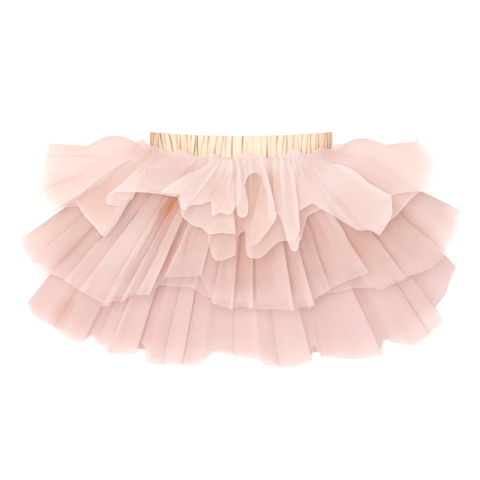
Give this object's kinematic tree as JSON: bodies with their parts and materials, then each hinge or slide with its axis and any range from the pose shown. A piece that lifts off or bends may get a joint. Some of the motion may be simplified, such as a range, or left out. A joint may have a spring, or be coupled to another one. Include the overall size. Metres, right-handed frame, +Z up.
{
  "type": "tutu skirt",
  "caption": "Child's tutu skirt laid flat: gathered satin waistband with three fanned tiers of soft tulle ruffles, each longer than the one above it.",
  "frame": {"origin": "middle of the skirt's outline, on the surface that it lies on", "axes": "+X towards the wearer's left side, across the skirt; +Y from the hems towards the waist; +Z up from the surface, out of the skirt's front"},
  "size_m": [0.485, 0.2574, 0.0661],
  "materials": {
    "satin": "peach satin casing over elastic, soft sheen",
    "tulle_top": "sheer pale pink tulle, soft and matt",
    "tulle_middle": "sheer pink tulle, soft and matt",
    "tulle_bottom": "sheer dusty pink tulle, soft and matt"
  },
  "bodies": {
    "root": {"waistband": "satin", "top_tier_front": "tulle_top", "top_tier_back": "tulle_top", "middle_tier_front": "tulle_middle", "middle_tier_back": "tulle_middle", "bottom_tier_front": "tulle_bottom", "bottom_tier_back": "tulle_bottom"}
  },
  "joints": []
}
